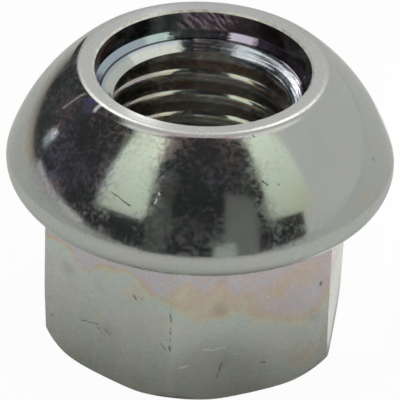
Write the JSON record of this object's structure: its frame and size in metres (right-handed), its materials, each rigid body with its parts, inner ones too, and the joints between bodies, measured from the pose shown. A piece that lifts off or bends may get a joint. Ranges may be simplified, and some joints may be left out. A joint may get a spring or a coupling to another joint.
{
  "type": "ball seat lug nut",
  "caption": "Open-ended wheel nut with a hexagonal wrench end, a rolled rim and a spherical ball seat round a threaded bore.",
  "frame": {"origin": "centre of the hexagonal end face that the nut stands on, on the bore's axis", "axes": "+Z along the bore from the wrench end to the ball seat, one corner of the hexagon towards -Y, flats square to +X and -X"},
  "size_m": [0.023, 0.023, 0.0178],
  "materials": {
    "zinc_plate": "satin"
  },
  "bodies": {
    "root": {"lug_nut": "zinc_plate"}
  },
  "joints": []
}
